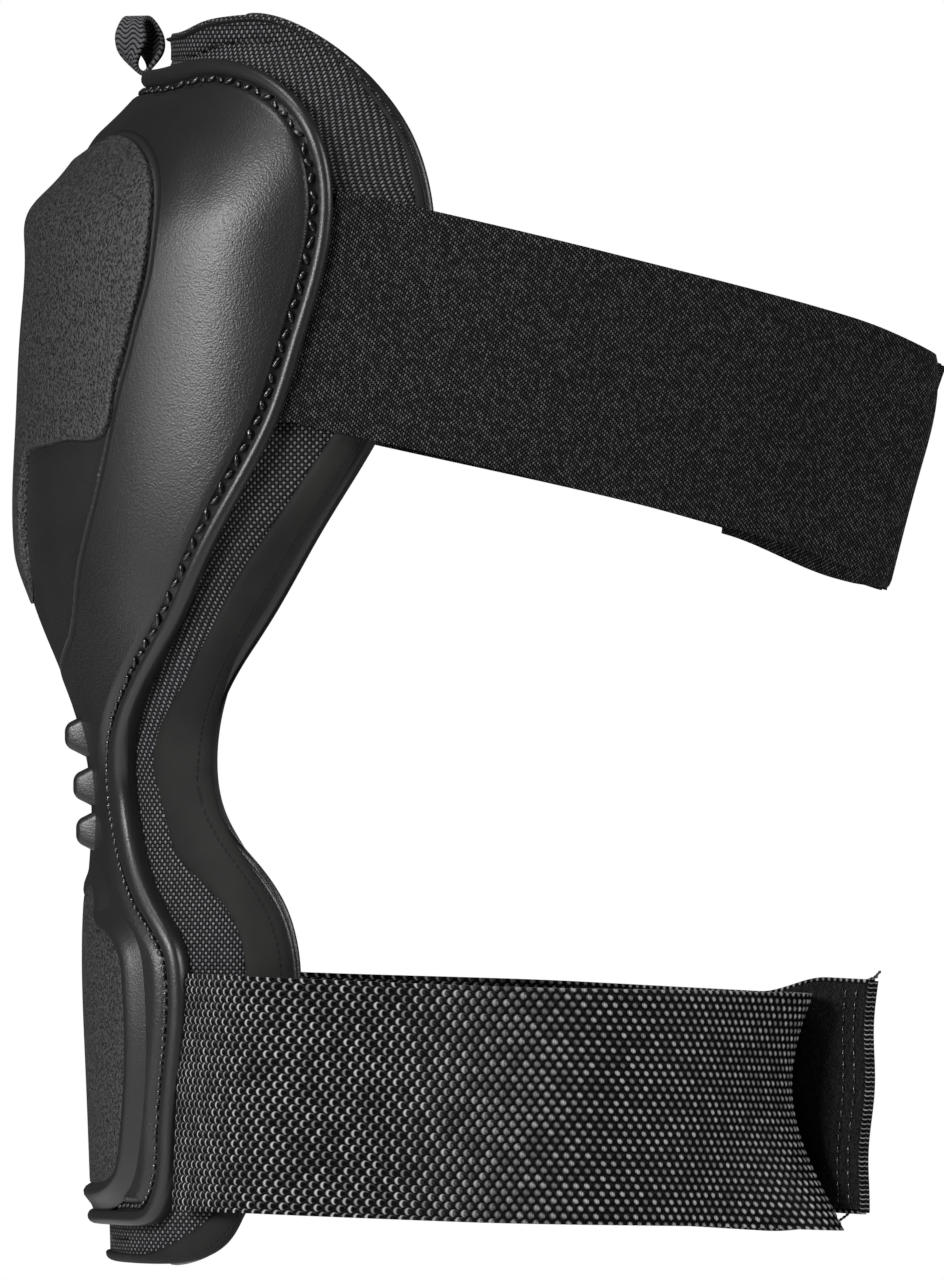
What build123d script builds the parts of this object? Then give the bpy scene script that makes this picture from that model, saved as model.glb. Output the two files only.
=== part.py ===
"""Strap-on motorcycle knee guard: moulded shell, fabric base, foam core, liner and two strap loops.

Millimetres. +Z up, X across the knee, the front faces -Y, the straps run back along +Y.
The origin is the inside of the knee cup, where the kneecap rests.
"""
import os
from math import cos, radians, sin, sqrt

from build123d import *

os.makedirs("parts", exist_ok=True)

# ---------------------------------------------------------------- driving dimensions
SHELL, FABRIC, LINER = 3.5, 0.95, 1.0  # layer thicknesses
FOAM_FRONT, FOAM_SIDE = 11.75, 4.45    # the foam is thick at the kneecap and thin at the wings
GAP = 0.05                             # between bonded layers
FREE = 0.35                            # between soft pieces that move apart
RIM, RIM_RISE = 3.2, 1.2               # raised bead round the shell
GROOVE, GROOVE_DEEP = 2.2, 1.1         # stitch channel inside the bead
PANEL_RISE = 1.4                       # textured panels stand this proud
STRAP_W, STRAP_T = 50.0, 2.0           # 2 inch elastic
HOOK_T, PILE_T = 1.0, 0.8
KNEE_END, SHIN_START = -62.0, -92.3    # the flex zone lies between these heights
WEB_W, WEB_T = 9.0, 1.1                # pull loop webbing

# Horizontal sections of the outer form: height, front centre, half width, depth of the nose
LEVELS = [
    (94, 17, 64, 46), (84, 13.2, 69, 48), (70, 7.6, 73, 50), (58, -3.4, 75, 51),
    (44, -14.6, 76, 52), (20, -16.3, 76, 52), (0, -17.4, 75.5, 51), (-18, -18.1, 74, 50),
    (-36, -16.1, 70.5, 47), (-56, -8.4, 65.5, 42), (-78, -2.9, 61, 37), (-104, -3.9, 58.5, 37),
    (-135, -3.5, 58, 38), (-170, -2.2, 56.5, 38), (-192, -1.6, 55, 37),
]

# Side view outlines (depth, height), each from its front top edge round the back to its foot
SHELL_EDGE = [
    (11, 75), (19.6, 76.6), (27.2, 76.2), (34.8, 73.4), (42.4, 67.1), (46.8, 59.5), (49.2, 48),
    (46.6, 28.3), (43, 16.2), (37.6, -0.4), (31.7, -12.2), (23, -28.5), (16.7, -42.4), (8, -58.7),
    (5.3, -66.3), (4.5, -76), (5.9, -86.7), (10.8, -101.7), (16.2, -111.6), (17.3, -118),
    (16.9, -133), (15.4, -150), (13.6, -165), (10.5, -169.8), (4, -170.7),
]
FABRIC_EDGE = [
    (14, 81.5), (19.6, 83.4), (26, 85.4), (33.5, 86), (42, 84), (50.6, 79), (57.6, 71.5),
    (63.5, 60.8), (67, 46), (66.4, 30), (60, 12), (50, -3.6), (38.2, -23), (26.2, -41.4),
    (15.4, -59.7), (11.2, -66.7), (9.7, -76), (11.8, -87), (20, -96), (28.6, -105), (32, -118),
    (31.2, -135), (28.5, -153), (24.9, -167), (20.7, -171.3), (14, -175.4), (8, -178),
]
LINER_EDGE = [
    (14, 82.5), (19.6, 84.4), (26, 86.5), (33.5, 87.1), (44.9, 84.2), (55.1, 76), (63.9, 65.2),
    (69, 54.9), (70.9, 44.1), (70, 28), (65, 11), (57, -5.3), (46.2, -23), (35.4, -42),
    (28.5, -53.2), (24.7, -61.8), (22.6, -73.5), (24.1, -82.3), (28.5, -89.3), (38.2, -102.8),
    (41.6, -116), (40.8, -133), (36.8, -152), (31, -167.5), (26, -175), (18.6, -178.9), (8, -180.2),
]
KNEE_PANEL = [
    (-5.5, 56.5), (1.1, 59.7), (6.1, 59.7), (8.7, 57.6), (11.4, 48), (9.9, 31.4), (7.4, 22.6),
    (3.4, 7.2), (1.1, -3.8), (-12, -4.8),
]
SHIN_PANEL = [
    (-5, -101.5), (-0.8, -105.7), (3.4, -111.5), (5.1, -118), (5.1, -146), (3.9, -157),
    (1.8, -161), (-4, -162),
]
SHIN_RIDGE = [
    (-5, -97.5), (1.4, -103), (6.2, -110.2), (8, -117.5), (8, -147), (6.4, -159.5),
    (3.2, -163.6), (-4, -164.6),
]
RIB_HEIGHTS, RIB_FRONT, RIB_HALF = (-66.7, -77.4, -87.1), (-8.2, -6.4, -5.8), 14.5


# ---------------------------------------------------------------- helpers
def form(side, front, back):
    """Solid inside the outer form, inset at the sides and at the front."""
    with BuildPart() as solid:
        for z, nose, half, deep in LEVELS:
            with BuildSketch(Plane.XY.offset(z)):
                with BuildLine():
                    EllipticalCenterArc((0, nose + deep), half - side, deep - front, 180, arc_size=180)
                    Polyline((half - side, nose + deep), (half - side, back),
                             (side - half, back), (side - half, nose + deep))
                make_face()
        loft()
    return solid.part


def outline(edge, shrink=0.0):
    """Face inside a side view edge, left open towards the front, moved inwards if asked."""
    if shrink:
        with BuildLine() as rail:
            curve = Spline(*edge)
        steps = [i / 36 for i in range(37)]
        edge = [((curve @ u).X + shrink * (curve % u).Y, (curve @ u).Y - shrink * (curve % u).X)
                for u in steps]
    with BuildSketch(Plane.YZ) as face:
        with BuildLine():
            Spline(*edge)
            Polyline(edge[-1], (-60, edge[-1][1]), (-60, edge[0][1]), edge[0])
        make_face()
    return face.sketch


def across(face, half=90.0):
    """Prism of a side view face, through the whole width."""
    with BuildPart() as solid:
        extrude(face, amount=half, both=True)
    return solid.part


def slab(low, high):
    """Block that keeps one height range."""
    with BuildPart() as solid:
        with Locations((0, 0, (low + high) / 2)):
            Box(240, 400, high - low)
    return solid.part


def section_x(depth, z_level, inset):
    """Half width of the form at one depth beyond the front of a level."""
    _, nose, half, deep = LEVELS[z_level]
    rest = max(0.0, nose + deep - depth) / (deep - inset)
    return (half - inset) * sqrt(1 - rest * rest)


ZONES = {"knee": slab(KNEE_END, 130), "flex": slab(SHIN_START + GAP, KNEE_END - GAP),
         "shin": slab(-230, SHIN_START)}

layer, depth_side, depth_front = {}, 0.0, 0.0
for name, side, front in (("shell", SHELL, SHELL), ("fabric", FABRIC, FABRIC),
                          ("foam", FOAM_SIDE, FOAM_FRONT), ("liner", LINER, LINER)):
    outer = form(depth_side, depth_front, 100)
    depth_side, depth_front = depth_side + side, depth_front + front
    inner = form(depth_side, depth_front, 120)
    depth_side, depth_front = depth_side + GAP, depth_front + GAP
    with BuildPart() as sheet:
        add(outer)
        add(inner, mode=Mode.SUBTRACT)
    layer[name] = sheet.part


def raised(rise, face, hole, sink=0.4):
    """Band of the outer form standing proud of the shell between two side view faces."""
    with BuildPart() as band:
        add(form(-rise, -rise, 100))
        add(form(sink, sink, 120), mode=Mode.SUBTRACT)
        add(across(face), mode=Mode.INTERSECT)
        add(across(hole, 100), mode=Mode.SUBTRACT)
    return band.part


shell_face, rim_inner = outline(SHELL_EDGE), outline(SHELL_EDGE, RIM)
groove_inner = outline(SHELL_EDGE, RIM + GROOVE)
rim = raised(RIM_RISE, shell_face, rim_inner)
with BuildPart() as channel_cut:
    add(raised(2, rim_inner, groove_inner, GROOVE_DEEP))
with BuildPart() as thread_ring:
    add(raised(-0.25, outline(SHELL_EDGE, RIM + 0.6), outline(SHELL_EDGE, RIM + GROOVE - 0.6),
               GROOVE_DEEP - GAP))

with BuildPart() as shell_whole:
    add(layer["shell"])
    add(across(shell_face), mode=Mode.INTERSECT)
    add(rim)
    add(channel_cut.part, mode=Mode.SUBTRACT)

# ---------------------------------------------------------------- knee part
with BuildSketch(Plane.YZ) as front_groove:  # parting line between front plate and side wall
    with BuildLine():
        front_line = Spline((1.6, -5.4), (-3.3, -30), (-7.8, -56.5))
    trace(front_line, line_width=1.1)
with BuildPart() as groove_cut:
    add(form(-2, -2, 100))
    add(form(0.9, 0.9, 120), mode=Mode.SUBTRACT)
    add(across(front_groove.sketch), mode=Mode.INTERSECT)
with BuildPart() as knee_shell:
    add(shell_whole.part)
    add(ZONES["knee"], mode=Mode.INTERSECT)
    add(groove_cut.part, mode=Mode.SUBTRACT)
knee_shell.part.label = "knee_shell"
export_step(knee_shell.part, "parts/knee_shell.step")

panel_face = outline(KNEE_PANEL)
with BuildSketch(Plane.YZ) as tongue:  # the panel runs down the middle of the front as a tongue
    with Locations((-30, -20)):
        Rectangle(60, 36)
with BuildPart() as knee_grip_panel:
    add(form(-PANEL_RISE, -PANEL_RISE, 100))
    add(form(-GAP, -GAP, 120), mode=Mode.SUBTRACT)
    with BuildPart(mode=Mode.PRIVATE) as keep:
        add(across(panel_face))
        add(across(tongue.sketch, 19))
    add(keep.part, mode=Mode.INTERSECT)
knee_grip_panel.part.label = "knee_grip_panel"
export_step(knee_grip_panel.part, "parts/knee_grip_panel.step")

# ---------------------------------------------------------------- flex zone
with BuildPart() as flex_shell:
    add(shell_whole.part)
    add(ZONES["flex"], mode=Mode.INTERSECT)
    for z, front in zip(RIB_HEIGHTS, RIB_FRONT):
        with BuildPart(mode=Mode.PRIVATE) as rib:
            with BuildSketch(Plane.YZ):
                with BuildLine():
                    Polyline((front, z + 1.6), (front, z - 1.6), (3, z - 4.4), (3, z + 4.4), close=True)
                make_face()
            extrude(amount=RIB_HALF, both=True)
            add(form(0.6, 0.6, 120), mode=Mode.SUBTRACT)
        add(rib.part)
flex_shell.part.label = "flex_shell"
export_step(flex_shell.part, "parts/flex_shell.step")

# ---------------------------------------------------------------- shin part
with BuildPart() as shin_shell:
    add(shell_whole.part)
    add(ZONES["shin"], mode=Mode.INTERSECT)
    add(raised(1.5, outline(SHIN_RIDGE), outline(SHIN_PANEL)))
shin_shell.part.label = "shin_shell"
export_step(shin_shell.part, "parts/shin_shell.step")

with BuildPart() as shin_grip_panel:
    add(form(-0.9, -0.9, 100))
    add(form(-GAP, -GAP, 120), mode=Mode.SUBTRACT)
    add(across(outline(SHIN_PANEL, 0.15)), mode=Mode.INTERSECT)
shin_grip_panel.part.label = "shin_grip_panel"
export_step(shin_grip_panel.part, "parts/shin_grip_panel.step")

# ---------------------------------------------------------------- layers under the shell, by zone
SHEETS = {"base_fabric": ("fabric", across(outline(FABRIC_EDGE))),
          "foam": ("foam", across(outline(LINER_EDGE, 1.5))),
          "liner": ("liner", across(outline(LINER_EDGE)))}
for name, (source, edge) in SHEETS.items():
    for zone, block in ZONES.items():
        with BuildPart() as piece:
            add(layer[source])
            add(edge, mode=Mode.INTERSECT)
            add(block, mode=Mode.INTERSECT)
        piece.part.label = f"{name}_{zone}"
        export_step(piece.part, f"parts/{name}_{zone}.step")
for zone, block in ZONES.items():
    with BuildPart() as piece:
        add(thread_ring.part)
        add(block, mode=Mode.INTERSECT)
    piece.part.label = f"rim_stitching_{zone}"
    export_step(piece.part, f"parts/rim_stitching_{zone}.step")

# ---------------------------------------------------------------- pull loop
with BuildPart() as pull_loop:
    with BuildSketch(Plane.YZ):
        with Locations((9.2, 82.6)):
            Ellipse(4.2, 6.0)
            Ellipse(4.2 - WEB_T, 6.0 - WEB_T, mode=Mode.SUBTRACT)
    extrude(amount=WEB_W / 2, both=True)
pull_loop.part.label = "pull_loop"
export_step(pull_loop.part, "parts/pull_loop.step")


# ---------------------------------------------------------------- straps
def strap_plane(depth, height, fall):
    """Plane across a strap: local x is across the leg, local y runs back along the strap."""
    run = (0, cos(radians(fall)), -sin(radians(fall)))
    return Plane(origin=(0, depth, height), x_dir=(1, 0, 0),
                 z_dir=(0, sin(radians(fall)), cos(radians(fall)))), run


def strap_half(plane, points, tangents, end):
    """Band along a spline and then straight to its end, as wide as the strap."""
    with BuildPart() as half:
        with BuildSketch(plane.offset(-STRAP_W / 2)):
            with BuildLine() as path:
                Spline(*points, tangents=tangents)
                Line(points[-1], end)
            trace(path.line, line_width=STRAP_T)
        extrude(amount=STRAP_W)
    return half.part


def plate(plane, start, run, normal, reach, low, high, width, length_from=0.0):
    """Flat strip on the straight end of a strap, between two distances from its middle line."""
    corners = [(start[0] + run[0] * s + normal[0] * d, start[1] + run[1] * s + normal[1] * d)
               for s, d in ((length_from, low), (reach, low), (reach, high), (length_from, high))]
    with BuildPart() as strip:
        with BuildSketch(plane.offset(-width / 2)):
            with BuildLine():
                Polyline(*corners, close=True)
            make_face()
        extrude(amount=width)
    return strip.part


HOOK_LOW = STRAP_T / 2 + GAP
PILE_LOW = HOOK_LOW + HOOK_T + FREE
FAR_MID = PILE_LOW + PILE_T + GAP + STRAP_T / 2
LOOPS = {
    # depth and height of the sewn edge, fall, near path up to the closure, closure start and
    # direction, far path from the sewn edge, how far the far end reaches past the closure
    "upper": dict(at=(46.1, 23.8, 15.0), root=(73.85, 0.0), lean=(0.0, 1.0),
                  near=[(72.6, 36), (63, 71), (46, 99), (28, 121), (15.5, 132.2)],
                  close=(3.0, 125.4), run=(-0.741, -0.671), grip=43.0,
                  far=[(-73.2, 32), (-64, 66)], past=6.0),
    "lower": dict(at=(18.9, -142.0, 2.4), root=(section_x(18.9, 12, 1.3) + 0.35, 0.0), lean=(0.5, 0.87),
                  near=[(57, 12), (58.4, 24), (56.6, 46), (50.2, 76), (38.5, 103), (26.5, 120), (15, 129.6)],
                  close=(4.0, 124.6), run=(-0.673, -0.740), grip=42.0,
                  far=[(-57, 12), (-58.4, 24), (-56.6, 44), (-49.6, 70)], past=21.5),
}
for name, loop in LOOPS.items():
    plane, _ = strap_plane(*loop["at"])
    (x0, t0), (ux, uy) = loop["root"], loop["run"]
    normal = (uy, -ux)  # from the near end towards the far half
    (ax, ay), grip = loop["close"], loop["grip"]
    end = (ax + ux * grip, ay + uy * grip)
    near = strap_half(plane, [(x0, t0), *loop["near"], (ax, ay)], [loop["lean"], (ux, uy)], end)
    far_close = (end[0] + normal[0] * FAR_MID, end[1] + normal[1] * FAR_MID)
    reach = grip + loop["past"]
    far_end = (far_close[0] - ux * reach, far_close[1] - uy * reach)
    far = strap_half(plane, [(-x0, t0), *loop["far"], far_close],
                     [(-loop["lean"][0], loop["lean"][1]), (-ux, -uy)], far_end)
    with BuildPart() as strap_near:
        add(near)
    strap_near.part.label = f"{name}_strap_near"
    export_step(strap_near.part, f"parts/{name}_strap_near.step")
    with BuildPart() as strap_far:
        add(far)
    strap_far.part.label = f"{name}_strap_far"
    export_step(strap_far.part, f"parts/{name}_strap_far.step")

    with BuildPart() as hook_patch:
        add(plate(plane, (ax, ay), (ux, uy), normal, grip - 1, HOOK_LOW, HOOK_LOW + HOOK_T, 46, 3.0))
    hook_patch.part.label = f"{name}_hook_patch"
    export_step(hook_patch.part, f"parts/{name}_hook_patch.step")
    with BuildPart() as pile_lining:
        add(plate(plane, (ax, ay), (ux, uy), normal, grip - 1, PILE_LOW, PILE_LOW + PILE_T,
                  48, 8.0 - loop["past"]))
    pile_lining.part.label = f"{name}_pile_lining"
    export_step(pile_lining.part, f"parts/{name}_pile_lining.step")
    with BuildPart() as hem_stitching:
        for row in (2.0, 5.0):
            add(plate(plane, (ax, ay), (ux, uy), normal, row + 0.7 - loop["past"], PILE_LOW + 0.3,
                      PILE_LOW + PILE_T, 46, row - loop["past"]))
    hem_stitching.part.label = f"{name}_hem_stitching"
    export_step(hem_stitching.part, f"parts/{name}_hem_stitching.step")
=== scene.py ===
"""Visual model of a strap-on motorcycle knee guard, laid out as a Blender add-on."""
import math
import random

import bmesh
import bpy
import numpy as np
from mathutils import Matrix, Vector


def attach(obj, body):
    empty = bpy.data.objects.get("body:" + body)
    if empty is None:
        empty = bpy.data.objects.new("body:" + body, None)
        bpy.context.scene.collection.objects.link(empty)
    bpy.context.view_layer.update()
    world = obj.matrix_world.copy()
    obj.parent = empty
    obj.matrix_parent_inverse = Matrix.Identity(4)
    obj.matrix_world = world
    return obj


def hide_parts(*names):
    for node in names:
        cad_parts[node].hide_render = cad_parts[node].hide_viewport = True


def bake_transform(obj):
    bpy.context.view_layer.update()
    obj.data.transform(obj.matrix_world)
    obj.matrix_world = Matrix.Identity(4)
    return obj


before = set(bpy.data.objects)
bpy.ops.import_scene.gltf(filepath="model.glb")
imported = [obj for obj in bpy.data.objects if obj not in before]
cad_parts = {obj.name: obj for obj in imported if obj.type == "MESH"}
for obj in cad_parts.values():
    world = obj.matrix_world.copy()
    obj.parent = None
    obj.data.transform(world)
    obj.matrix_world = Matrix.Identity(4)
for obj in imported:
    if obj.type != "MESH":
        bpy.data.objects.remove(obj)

bl_info = {
    "name": "Knee guard",
    "version": (1, 0, 0),
    "blender": (4, 2, 0),
    "location": "View3D > Sidebar > Knee guard",
    "description": "Builds the visual pieces of a strap-on knee guard around its CAD frame",
    "category": "Add Mesh",
}

MM = 0.001
HALF_TURN = math.pi / 2

# Horizontal sections of the outer form: height, front centre, half width, depth of the nose
LEVELS = np.array([
    (-192, -1.6, 55, 37), (-170, -2.2, 56.5, 38), (-135, -3.5, 58, 38), (-104, -3.9, 58.5, 37),
    (-78, -2.9, 61, 37), (-56, -8.4, 65.5, 42), (-36, -16.1, 70.5, 47), (-18, -18.1, 74, 50),
    (0, -17.4, 75.5, 51), (20, -16.4, 76, 52), (38, -15.5, 76, 52), (45, -14.4, 76, 52),
    (49.5, -10.2, 75.8, 52), (55, -5.6, 75.4, 51.4), (62, -0.4, 74.6, 50.8), (70, 7.0, 73, 50),
    (84, 13.2, 69, 48), (94, 17, 64, 46)], float)

# Side view outlines (depth, height) from the front top edge round the back to the foot
SHELL_EDGE = [
    (11, 75), (19.6, 76.6), (27.2, 76.2), (34.8, 73.4), (42.4, 67.1), (46.8, 59.5), (49.2, 48),
    (46.6, 28.3), (43, 16.2), (37.6, -0.4), (31.7, -12.2), (23, -28.5), (16.7, -42.4), (8, -58.7),
    (5.3, -66.3), (4.5, -76), (5.9, -86.7), (10.8, -101.7), (16.2, -111.6), (17.3, -118),
    (16.9, -133), (15.4, -150), (13.6, -165), (10.5, -169.8), (4, -170.7)]
FABRIC_EDGE = [
    (14, 83.3), (19.6, 85.1), (26, 86.2), (33.5, 86.3), (42, 83.7), (50.6, 78), (58.6, 69.6),
    (64.8, 60), (68.2, 46), (67.2, 30), (61, 12), (51, -3.6), (38.2, -23), (26.2, -41.4),
    (15.4, -59.7), (11.2, -66.7), (9.7, -76), (11.8, -87), (20, -96), (28.6, -105), (32, -118),
    (31.2, -135), (28.5, -153), (24.9, -167), (20.7, -171.3), (14, -175.4), (8, -178)]
LINER_EDGE = [
    (14, 83.8), (19.6, 85.5), (26, 86.5), (33.5, 86.6), (43, 83.3), (52, 77.2), (60.2, 69),
    (66, 60.2), (69.3, 50.8), (70.6, 42.5), (70, 28), (65, 11), (57, -5.3), (46.2, -23),
    (35.4, -42), (28.5, -53.2), (24.7, -61.8), (22.6, -73.5), (24.1, -82.3), (28.5, -89.3),
    (38.2, -102.8), (41.6, -116), (40.8, -133), (36.8, -152), (31, -167.5), (26, -175),
    (18.6, -178.9), (8, -180.2)]
PANEL_BROW = [(0, 55.6), (8, 56.2), (15, 58.0)]
PANEL_TOP = [(2.5, 59.9), (6.1, 59.6), (8.9, 57), (10.9, 52),
             (11.4, 46.5), (10.6, 38), (9.3, 29.5), (7.4, 22.4), (5.5, 14.8), (3.4, 7.2)]
PANEL_FOOT = [(0.9, -3.0), (-6.1, -4.1), (-12.4, -5.3)]
TONGUE = [(14.6, -7.4), (12.6, -14), (11.4, -25), (9.6, -35), (5, -38.2)]
FRONT_LINE = [(1.1, -3.6), (-2.6, -20), (-5.5, -33.5), (-7.4, -46.2), (-8.1, -58)]
SHIN_PANEL = [(-0.8, -105.7), (2.3, -109.6), (4.3, -113.1), (5.1, -118.6), (5.1, -146),
              (4.4, -154), (3.4, -158.9), (1.6, -161)]
RIBS = ((-66.7, -8.2), (-77.4, -6.4), (-87.1, -5.8))
RIM, GROOVE = 3.2, 2.2
LINER_SIDE, LINER_FRONT = 10.0, 17.4
CLOTH_ROWS = 40


# -------------------- curves and the form
def natural(xs, ys):
    """Natural cubic spline through (xs, ys)."""
    xs, ys = np.asarray(xs, float), np.asarray(ys, float)
    n, h = len(xs), np.diff(xs)
    rows, right = np.eye(n), np.zeros(n)
    for i in range(1, n - 1):
        rows[i, i - 1:i + 2] = h[i - 1], 2 * (h[i - 1] + h[i]), h[i]
        right[i] = 3 * ((ys[i + 1] - ys[i]) / h[i] - (ys[i] - ys[i - 1]) / h[i - 1])
    c = np.linalg.solve(rows, right)
    b = np.diff(ys) / h - h * (2 * c[:-1] + c[1:]) / 3
    d = np.diff(c) / (3 * h)

    def at(q):
        k = np.clip(np.searchsorted(xs, q) - 1, 0, n - 2)
        t = q - xs[k]
        return ys[k] + t * (b[k] + t * (c[k] + t * d[k]))
    return at


NOSE, HALF, DEEP = (natural(LEVELS[:, 0], LEVELS[:, k]) for k in (1, 2, 3))


def softened(line, spread):
    """The same line with its corners rounded over the given height."""
    heights = np.arange(-188.0, 93.0, 4.0)
    reach = np.linspace(-2, 2, 41)
    share = np.exp(-reach ** 2)
    share /= share.sum()
    return natural(heights, (line(np.clip(heights[:, None] + reach * spread, -192, 94))
                             * share).sum(axis=1))


FLANK = softened(NOSE, 13.0)


def smooth(x, low=0.0, high=1.0):
    """0 below low, 1 above high, and a smooth step between them."""
    t = np.clip((np.asarray(x, float) - low) / (high - low), 0, 1)
    return t * t * (3 - 2 * t)


def base(a, z, side=0.0, front=0.0):
    """Point of the form at girth a (signed, from the middle of the front) and height z."""
    deep = DEEP(z)
    t = np.clip(a / deep, -HALF_TURN, HALF_TURN)
    x = (HALF(z) - side) * np.sin(t)
    ahead = np.exp(-(t / 0.5) ** 2)
    y = (NOSE(z) - FLANK(z)) * ahead + FLANK(z) + front + (deep - front) * (1 - np.cos(t))
    y = y + np.maximum(0, np.abs(a) - deep * HALF_TURN)
    return np.stack([x, y, np.broadcast_to(z, x.shape)], -1)


def skin(a, z, rise, side=0.0, front=0.0):
    """Point of the form moved out along its normal by rise."""
    a, z = np.broadcast_arrays(np.asarray(a, float), np.asarray(z, float))
    across = base(a + 0.2, z, side, front) - base(a - 0.2, z, side, front)
    up = base(a, z + 0.2, side, front) - base(a, z - 0.2, side, front)
    normal = np.cross(across, up)
    normal /= np.linalg.norm(normal, axis=-1, keepdims=True)
    return base(a, z, side, front) + normal * np.asarray(rise)[..., None]


def wrap(y, z, front=0.0):
    """Girth at which the form has depth y at height z."""
    deep = DEEP(z)
    middle = FLANK(z) + deep
    turn = deep * np.arccos(np.clip((middle - y) / (deep - front), -1, 1))
    return np.where(y > middle, deep * HALF_TURN + y - middle, turn)


def lengths(points):
    """Distance along a polyline at each of its points."""
    return np.r_[0, np.cumsum(np.linalg.norm(np.diff(points, axis=0), axis=1))]


def resample(points, count):
    """Points evenly spaced along a polyline."""
    points = np.asarray(points, float)
    steps = lengths(points)
    at = np.linspace(0, steps[-1], count)
    return np.stack([np.interp(at, steps, points[:, k]) for k in range(points.shape[1])], -1)


def curve(points, count):
    """Evenly spaced points on a smooth curve through the given ones."""
    points = np.asarray(points, float)
    steps = lengths(points)
    fine = np.linspace(0, steps[-1], 4000)
    return resample(np.stack([natural(steps, points[:, k])(fine)
                              for k in range(points.shape[1])], -1), count)


class Edge:
    """Side view outline laid on the form, from the middle of the front back to the middle."""

    def __init__(self, outline, count, front=0.0):
        self.front = front
        top, foot = outline[0][1], outline[-1][1]
        dense = curve([(float(NOSE(top)), top), *outline, (float(NOSE(foot)), foot)], 4000)
        if front:
            dense = dense[dense[:, 0] > FLANK(dense[:, 1]) + front]
        girth = wrap(dense[:, 0], dense[:, 1], front)
        girth[0] = girth[-1] = 0
        laid = resample(np.stack([girth, dense[:, 1], dense[:, 0]], -1), count)
        self.a, self.z, self.y = laid.T
        run = np.stack([np.gradient(self.y), np.gradient(self.z)], -1)
        run[:3], run[-3:] = (1, 0), (-1, 0)
        run /= np.linalg.norm(run, axis=1, keepdims=True)
        self.inward = np.stack([run[:, 1], -run[:, 0]], -1)

    def ring(self, d):
        """Girth and height of the outline moved inwards by d, as seen from the side."""
        y, z = self.y + self.inward[:, 0] * d, self.z + self.inward[:, 1] * d
        share = smooth(self.a, 0, 22)
        return self.a + (wrap(y, z, self.front) - self.a) * share, z


class Patch(Edge):
    """Outline given directly as girth and height."""

    def __init__(self, points, count):
        self.a, self.z = curve(points, count).T
        run = np.stack([np.gradient(self.a), np.gradient(self.z)], -1)
        run[0], run[-1] = (1, 0), (-1, 0)
        run /= np.linalg.norm(run, axis=1, keepdims=True)
        self.inward = np.stack([run[:, 1], -run[:, 0]], -1)

    def ring(self, d):
        a = np.maximum(self.a + self.inward[:, 0] * d, 0)
        a[0] = a[-1] = 0
        return a, self.z + self.inward[:, 1] * d

    def signed(self, a, z):
        """Distance to the outline, negative inside it."""
        a, z = np.abs(a), np.asarray(z, float)
        best, sign = np.full(a.shape, 1e9), np.ones(a.shape)
        for pa, pz, (na, nz) in zip(self.a, self.z, self.inward):
            gap = np.hypot(a - pa, z - pz)
            near = gap < best
            best = np.where(near, gap, best)
            sign = np.where(near, np.sign((a - pa) * na + (z - pz) * nz), sign)
        return -best * np.where(sign == 0, 1, sign)


def on_form(points):
    """Side view points (depth, height) as points on the form (girth, height)."""
    return [(float(wrap(y, z)), z) for y, z in points]


def fan(edge, rings, rows):
    """Girth and height arrays: rings inside an outline, then lines in to the middle."""
    girth, height = zip(*[edge.ring(d) for d, _ in rings])
    a0, z0 = girth[-1], height[-1]
    even = np.linspace(z0[0], z0[-1], len(z0))
    middle = 0.75 * np.minimum.accumulate(z0) + 0.25 * even
    middle = z0[0] + (middle - middle[0]) * (z0[-1] - z0[0]) / (middle[-1] - middle[0])
    share = np.linspace(0, 1, rows + 1)[1:, None]
    a = np.vstack([*girth, a0 * (1 - share)])
    z = np.vstack([*height, z0 + (middle - z0) * smooth(share) ** 0.9])
    rise = np.vstack([np.full_like(a0, r) for _, r in rings] + [np.zeros((rows, len(a0)))])
    return a, z, rise


def both_sides(a, z, *others):
    """Mirror rows that end on the middle of the front."""
    joined = [np.vstack([a, -a[-2::-1]]), np.vstack([z, z[-2::-1]])]
    return joined + [np.vstack([o, o[-2::-1]]) for o in others]


# -------------------- meshes
def finish_mesh(bm, name, material, thick=0.0):
    """Piece made from a bmesh, with an optional wall in millimetres."""
    mesh = bpy.data.meshes.new(name)
    bmesh.ops.recalc_face_normals(bm, faces=bm.faces)
    bm.to_mesh(mesh)
    bm.free()
    mesh.polygons.foreach_set("use_smooth", [True] * len(mesh.polygons))
    obj = bpy.data.objects.new(name, mesh)
    bpy.context.scene.collection.objects.link(obj)
    mesh.materials.append(material)
    if thick:
        wall = obj.modifiers.new("thickness", "SOLIDIFY")
        wall.thickness, wall.offset = thick * MM, -1
    return obj


def lattice(bm, points, u, v, extra=()):
    """Grid of points (rows, columns, 3) in millimetres, with UVs in millimetres."""
    rows, cols = points.shape[:2]
    uv = bm.loops.layers.uv.get("UVMap")
    uv = uv if uv is not None else bm.loops.layers.uv.new("UVMap")
    layers = []
    for key, values in extra:
        found = bm.verts.layers.float.get(key)
        layers.append((found if found is not None else bm.verts.layers.float.new(key), values))
    made = bmesh.ops.create_grid(bm, x_segments=cols - 1, y_segments=rows - 1, size=1)["verts"]
    where = {}
    u, v = np.broadcast_to(u, (rows, cols)), np.broadcast_to(v, (rows, cols))
    for vert in made:
        j = round((vert.co.x + 1) / 2 * (cols - 1))
        i = round((vert.co.y + 1) / 2 * (rows - 1))
        where[vert] = (i, j)
    for vert, (i, j) in where.items():
        vert.co = points[i, j] * MM
        for layer, values in layers:
            vert[layer] = values[i, j]
    for face in {f for vert in made for f in vert.link_faces}:
        for loop in face.loops:
            i, j = where[loop.vert]
            loop[uv].uv = (u[i, j], v[i, j])


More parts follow.
